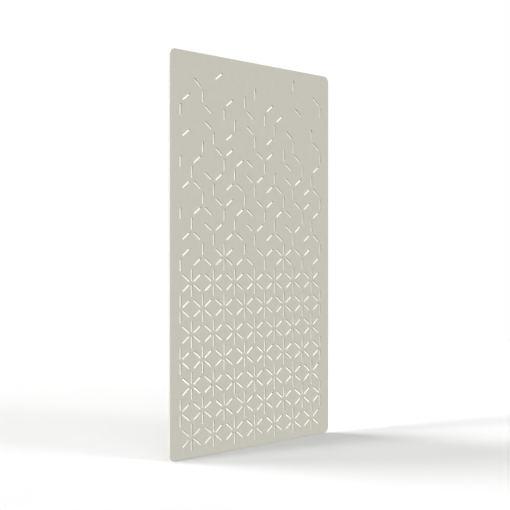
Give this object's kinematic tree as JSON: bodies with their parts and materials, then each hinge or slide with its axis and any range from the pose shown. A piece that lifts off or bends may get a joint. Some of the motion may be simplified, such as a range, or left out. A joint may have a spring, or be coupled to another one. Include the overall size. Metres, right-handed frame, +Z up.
{
  "type": "hanging acoustic screen",
  "caption": "Tall felt sheet with rounded corners, pierced by slots in a star lattice that thins out towards the top, hung by threaded inserts in its top edge.",
  "frame": {"origin": "middle of the top edge, half way between the two hanging points and half way through the sheet", "axes": "+X along the width, to the right seen from the front; +Y towards the back, through the thickness; +Z up"},
  "size_m": [1.2, 0.009, 2.07],
  "materials": {
    "felt": "matte pressed felt",
    "insert_brass": "turned"
  },
  "bodies": {
    "root": {"felt_panel": "felt", "hanging_inserts": "insert_brass"}
  },
  "joints": []
}
